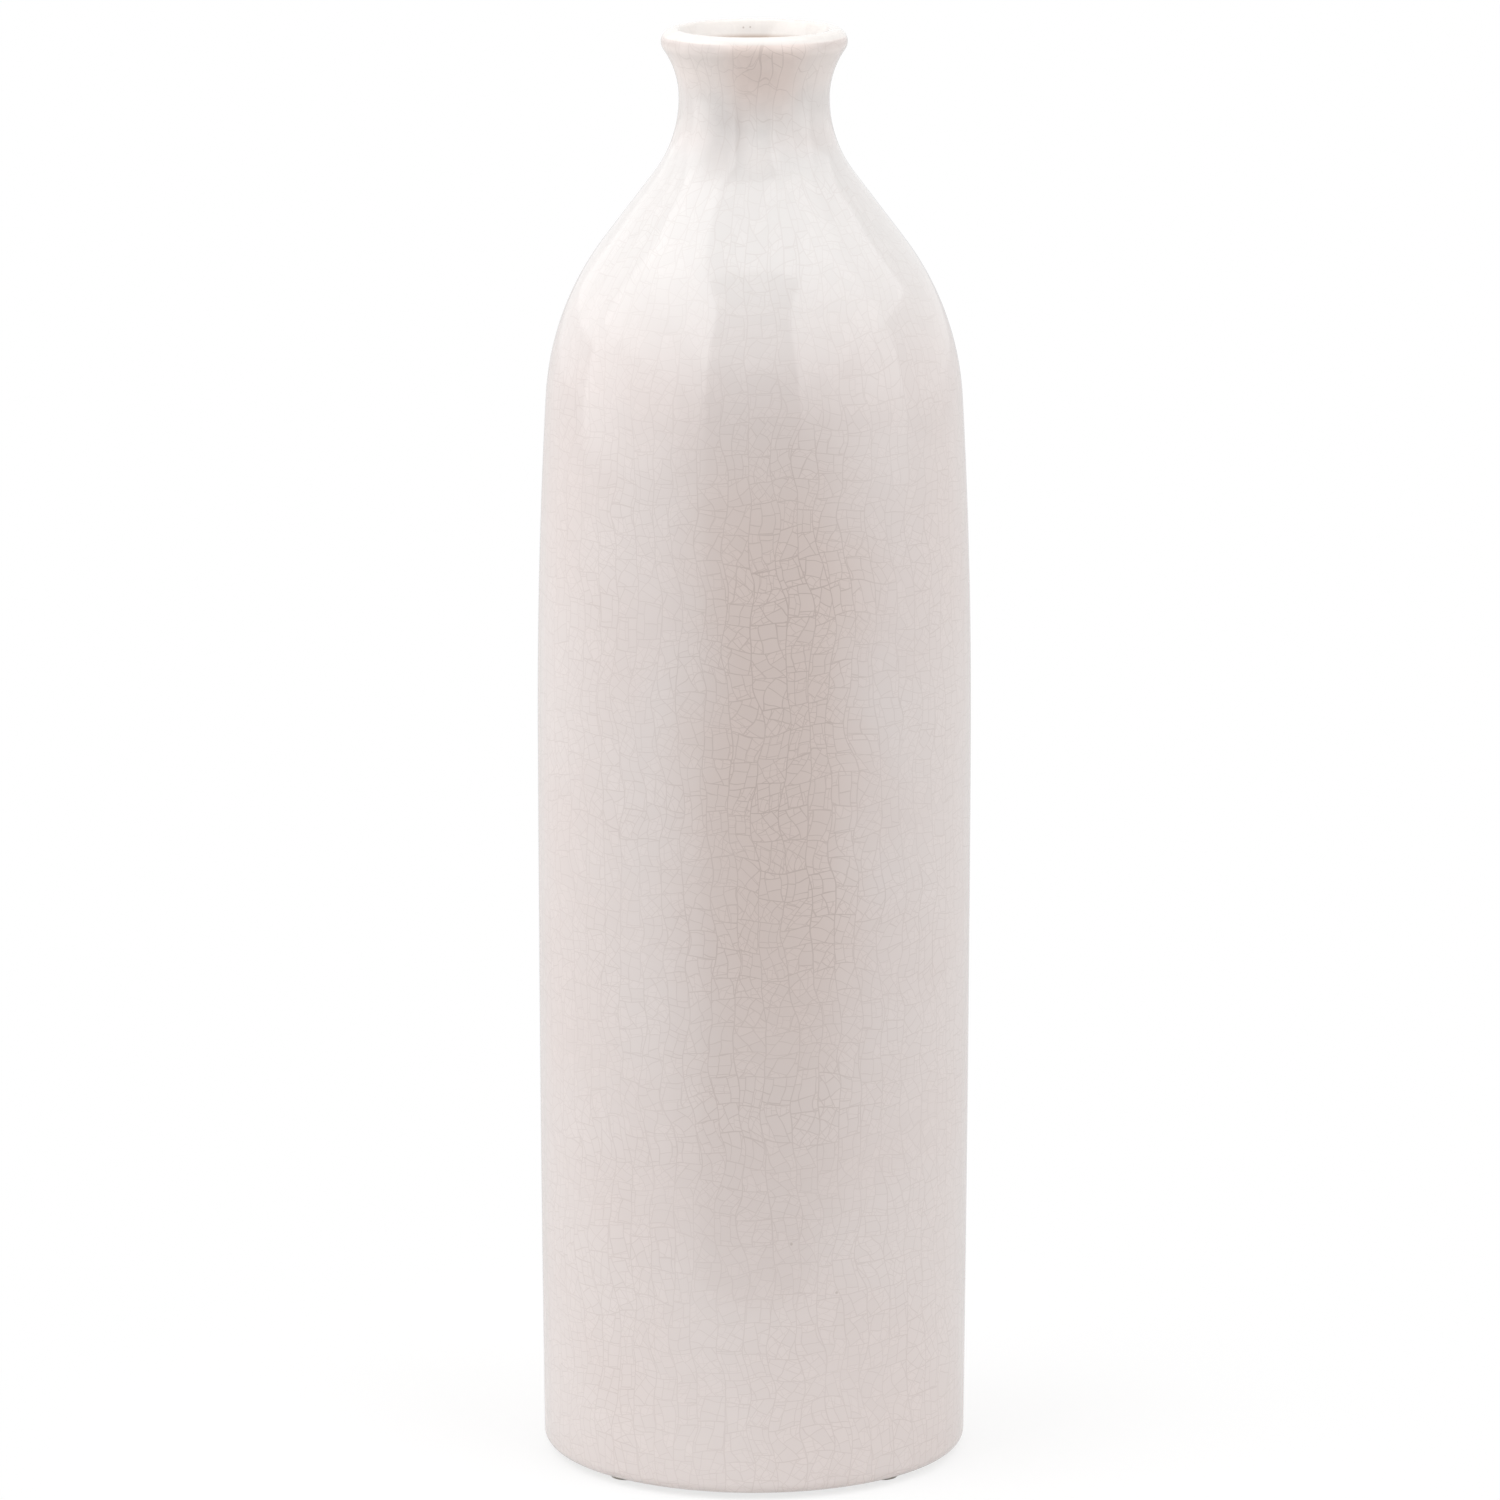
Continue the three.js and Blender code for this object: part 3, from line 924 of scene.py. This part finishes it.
def buildClay():
    edge, step, edgeStep = vaseForm["footRingEdge"], fineness["hiddenStep"], fineness["footEdgeStep"]
    corner = Vector((footRingInner, recessCeiling))
    ring = join(
        line(Vector((0, recessCeiling)), corner, fineness["hiddenFlatStep"]),
        line(corner, Vector((footRingInner, footPlane + edge)), fineness["uprightStep"]),
        arc(Vector((footRingInner + edge, footPlane + edge)), edge, math.pi, 3 * quarterTurn, edgeStep),
        arc(Vector((footRingOuter - edge, footPlane + edge)), edge, -quarterTurn, 0, edgeStep),
    )
    section = join(
        ring,
        outside(clayDepth, quarterTurn, step),
        mouth(clayDepth, step),
        chamber(clayDepth, 0, step),
    )
    piece = turned("clay_casting", section, fineness["innerSides"], True, makeFiredClay())
    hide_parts("clay_body")
    return piece


def buildPads():
    material, edge = makeFelt(), felt["edge"]
    flatStep, roundStep = fineness["padFlatStep"], fineness["smallRoundStep"]
    for i in range(1, 5):
        low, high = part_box(f"felt_pad_{i}")
        middle, radius, top = (low + high) / 2, (high.x - low.x) / 2, high.z
        section = join(
            line(Vector((0, 0)), Vector((radius - edge, 0)), flatStep),
            arc(Vector((radius - edge, edge)), edge, -quarterTurn, 0, roundStep),
            arc(Vector((radius - edge, top - edge)), edge, 0, quarterTurn, roundStep),
            line(Vector((radius - edge, top)), Vector((0, top)), flatStep),
        )
        pad = turned(f"felt_disc_{i}", section, felt["sides"], False, material)
        for v in pad.data.vertices:
            reach = math.hypot(v.co.x, v.co.y)
            x, y, z = (place * scale for place, scale in zip(v.co, felt["fuzzScale"]))
            fray = abs(noise.noise(Vector((x + 7 * i, y, z)))) * felt["fuzz"]
            if reach > 0:
                v.co.xy -= v.co.xy / reach * fray * easeIn(reach, felt["fuzzFrom"] * radius, radius)
            v.co.xy += middle.xy
        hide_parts(f"felt_pad_{i}")
        yield pad


plainGlaze = makePlainGlaze()
outerCoat = buildOuterCoat()
print("crackled coat built,", len(outerCoat.data.polygons), "faces")
pieces = [outerCoat, buildLiner(plainGlaze), buildBaseCoat(plainGlaze), buildClay(), *buildPads()]
for piece in pieces:
    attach(piece, "root")
print("clay, liner, base and pads built")

# Pale floor and white surroundings
studio = {
    "surroundings": 0.6,
    "floorColour": rgb(0.88, 0.875, 0.87),
    "floorRoughness": 0.9,
    "floorShine": 0.1,
    "floorReach": 9.0,
    "floorWhite": 0.75,     # near the vase, where its shadow shows; it rises to 1 from whiteFrom to whiteAt
    "floorInGlaze": 0.76,
    "whiteFrom": 0.08,
    "whiteAt": 0.23,
}
# The side panels hang upright, from one depth to another, and the top panels hang level.
# A panel's glow is how bright it looks, where 1 is white.
panelHeight = 2.1
sidePanels = [
    {"name": "leftHigh", "x": -0.9, "y": (-1.7, 0.25), "z": (1.0, panelHeight), "glow": 2.08},
    {"name": "leftMiddle", "x": -0.9, "y": (-1.7, 0.25), "z": (0.6, 1.0), "glow": 1.65},
    {"name": "leftLow", "x": -0.9, "y": (-1.7, 0.25), "z": (0.2, 0.6), "glow": 0.95},
    {"name": "leftBeside", "x": -0.9, "y": (0.25, 0.62), "z": (0.5, panelHeight), "glow": 0.82},
    {"name": "leftBack", "x": -0.9, "y": (0.62, 1.56), "z": (0.5, panelHeight), "glow": 0.45},
    {"name": "rightHigh", "x": 0.9, "y": (-1.93, 0), "z": (0.7, panelHeight), "glow": 1.5},
    {"name": "rightLow", "x": 0.9, "y": (-1.93, 0), "z": (0.35, 0.7), "glow": 0.95},
    {"name": "rightFoot", "x": 0.9, "y": (-1.93, 0), "z": (0.2, 0.35), "glow": 0.6},
    {"name": "rightBack", "x": 0.9, "y": (0, 0.52), "z": (0.7, panelHeight), "glow": 0.95},
]
topPanels = [
    {"name": "topLeft", "x": (-0.9, -0.3), "y": (-1, 1), "glow": 0.67},
    {"name": "topMiddle", "x": (-0.3, 0.3), "y": (-1, 1), "glow": 1.02},
    {"name": "topRight", "x": (0.3, 0.9), "y": (-1, 1), "glow": 1.25},
]
# Cloths round the camera, in degrees to the right of straight ahead. They begin just in front of the vase.
cloths = [
    {"name": "studio_cloth_pale", "sector": (-42, -27), "glow": 0.5},
    {"name": "studio_cloth_dark", "sector": (-27, 26), "glow": 0.0},
    {"name": "studio_cloth_dim", "sector": (26, 42), "glow": 0.23},
    {"name": "studio_cloth_grey", "sector": (42, 60), "glow": 0.62},
]
clothForm = {
    "tableEdge": 0.24,
    "reach": 2.4,
    "height": 1.45,
    "fadeFrom": 0.95,       # from this height up the hung cloths pass softly into the white surroundings
    "lift": 0.002,
    "stepDegrees": 3,
    "laidBounce": 0.42,     # what the floor under a cloth still sends up to dull surfaces
}


def makePanel(name, middle, aim, size, glow):
    data = bpy.data.lights.new(name, "AREA")
    data.shape = "RECTANGLE"
    data.size, data.size_y = size
    data.energy = glow * math.pi * size[0] * size[1]
    panel = bpy.data.objects.new(name, data)
    panel.location = middle
    panel.rotation_mode = "QUATERNION"
    panel.rotation_quaternion = Vector(aim).to_track_quat("-Z", "Y")
    panel.visible_camera = False
    bpy.context.scene.collection.objects.link(panel)


def makeLamps():
    for lamp in sidePanels:
        front, back = lamp["y"]
        low, high = lamp["z"]
        middle = (lamp["x"], (front + back) / 2, (low + high) / 2)
        makePanel(lamp["name"], middle, (-lamp["x"], 0, 0), (back - front, high - low), lamp["glow"])
    for lamp in topPanels:
        left, right = lamp["x"]
        front, back = lamp["y"]
        middle = ((left + right) / 2, (front + back) / 2, panelHeight)
        makePanel(lamp["name"], middle, (0, 0, -1), (right - left, back - front), lamp["glow"])


def stageSheet(name, coords, faces, material):
    mesh = bpy.data.meshes.new(name)
    mesh.from_pydata(coords, [], faces)
    mesh.materials.append(material)
    sheet = bpy.data.objects.new(name, mesh)
    sheet.visible_camera = False
    bpy.context.scene.collection.objects.link(sheet)
    sheet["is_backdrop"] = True
    return sheet


def clothMaterial(name, glow, bounce):
    material, tree, shader = newMaterial(name)
    tree.nodes.remove(shader)
    isDiffuse = tree.nodes.new("ShaderNodeLightPath").outputs["Is Diffuse Ray"]
    at = addNode(tree, "ShaderNodeSeparateXYZ", Vector=objectPlace(tree))
    fading = ramp(tree, at.outputs["Z"], clothForm["fadeFrom"], clothForm["height"], glow, 1)
    strength = maths(tree, "ADD", maths(tree, "MULTIPLY", isDiffuse, bounce), fading)
    light = addNode(tree, "ShaderNodeEmission", Color=rgb(1, 1, 1), Strength=strength)
    feed(tree, tree.nodes["Material Output"].inputs["Surface"], light.outputs[0])
    return material


# Each cloth lies over the floor, which is seen and lit through it, and hangs up behind the camera.
def makeCloths():
    for cloth in cloths:
        start, end = (math.radians(a) for a in cloth["sector"])
        count = math.ceil((cloth["sector"][1] - cloth["sector"][0]) / clothForm["stepDegrees"])
        edge, reach, lift = (clothForm[key] for key in ("tableEdge", "reach", "lift"))
        near, far, top = [], [], []
        for i in range(count + 1):
            angle = start + (end - start) * i / count
            across, ahead = math.sin(angle), -math.cos(angle)
            near.append((edge * math.tan(angle), -edge, lift))
            far.append((reach * across, reach * ahead, lift))
            top.append((reach * across, reach * ahead, clothForm["height"]))
        faces = [(i, count + 1 + i, count + 2 + i, i + 1) for i in range(count)]
        laid = stageSheet(cloth["name"] + "_laid", near + far, faces,
                          clothMaterial(cloth["name"] + "_laid", cloth["glow"], clothForm["laidBounce"]))
        laid.visible_shadow = laid.visible_transmission = False
        stageSheet(cloth["name"] + "_hung", far + top, faces,
                   clothMaterial(cloth["name"] + "_hung", cloth["glow"], 0))


def seenDirectly(tree):
    path = tree.nodes.new("ShaderNodeLightPath").outputs
    either = maths(tree, "MAXIMUM", path["Is Camera Ray"], path["Is Glossy Ray"])
    return maths(tree, "MAXIMUM", either, path["Is Transmission Ray"])


def makeSurroundings():
    world = bpy.data.worlds.new("studioSurroundings")
    bpy.context.scene.world = world
    world.use_nodes = True
    tree = world.node_tree
    light = tree.nodes["Background"]
    light.inputs["Strength"].default_value = studio["surroundings"]
    light.inputs["Color"].default_value = rgb(1, 1, 1)
    white = addNode(tree, "ShaderNodeBackground", Color=rgb(1, 1, 1), Strength=1)
    mix = addNode(tree, "ShaderNodeMixShader", Fac=seenDirectly(tree))
    feed(tree, mix.inputs[1], light.outputs[0])
    feed(tree, mix.inputs[2], white.outputs[0])
    feed(tree, tree.nodes["World Output"].inputs["Surface"], mix.outputs[0])


def makeFloor():
    reach = studio["floorReach"]
    corners = [(-reach, -reach, 0), (reach, -reach, 0), (reach, reach, 0), (-reach, reach, 0)]
    mesh = bpy.data.meshes.new("studio_floor")
    mesh.from_pydata(corners, [], [(0, 1, 2, 3)])
    floor = bpy.data.objects.new("studio_floor", mesh)
    bpy.context.scene.collection.objects.link(floor)
    material, tree, shader = newMaterial("paleFloor")
    shader.inputs["Base Color"].default_value = studio["floorColour"]
    shader.inputs["Roughness"].default_value = studio["floorRoughness"]
    shader.inputs["Specular IOR Level"].default_value = studio["floorShine"]
    inGlaze = tree.nodes.new("ShaderNodeLightPath").outputs["Is Glossy Ray"]
    white = addNode(tree, "ShaderNodeEmission", Color=rgb(1, 1, 1),
                    Strength=ramp(tree, inGlaze, 0, 1, 1, studio["floorInGlaze"], smooth=False))
    away = addNode(tree, "ShaderNodeVectorMath", {"operation": "LENGTH"}, Vector=objectPlace(tree))
    whiteness = ramp(tree, away.outputs["Value"], studio["whiteFrom"], studio["whiteAt"],
                     studio["floorWhite"], 1)
    share = maths(tree, "MULTIPLY", seenDirectly(tree), whiteness)
    mix = addNode(tree, "ShaderNodeMixShader", Fac=share)
    feed(tree, mix.inputs[1], shader.outputs[0])
    feed(tree, mix.inputs[2], white.outputs[0])
    feed(tree, tree.nodes["Material Output"].inputs["Surface"], mix.outputs[0])
    mesh.materials.append(material)
    floor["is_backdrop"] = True


# The camera stands a little above the lip, far away, and looks slightly down.
view = {
    "distance": 2.2397,
    "height": 0.66625,
    "aside": -0.00117,
    "aimHeight": 0.1997,
    "lens": 197.07,
    "sensor": 36,
    "farthest": 50,
}


def makeCamera():
    data = bpy.data.cameras.new("camera")
    data.lens, data.sensor_width = view["lens"], view["sensor"]
    data.sensor_fit = "HORIZONTAL"
    data.clip_end = view["farthest"]
    camera = bpy.data.objects.new("camera", data)
    camera.location = (view["aside"], -view["distance"], view["height"])
    aim = Vector((view["aside"], 0, view["aimHeight"]))
    camera.rotation_mode = "QUATERNION"
    camera.rotation_quaternion = (aim - camera.location).to_track_quat("-Z", "Y")
    bpy.context.scene.collection.objects.link(camera)
    bpy.context.scene.camera = camera


makeLamps()
makeCloths()
makeSurroundings()
makeFloor()
makeCamera()
bpy.context.scene.view_settings.view_transform = "Standard"
print("studio set up")

boxes = {"cad": cadBounds, "visual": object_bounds()}
{name: [list(corner) for corner in box] for name, box in boxes.items()}
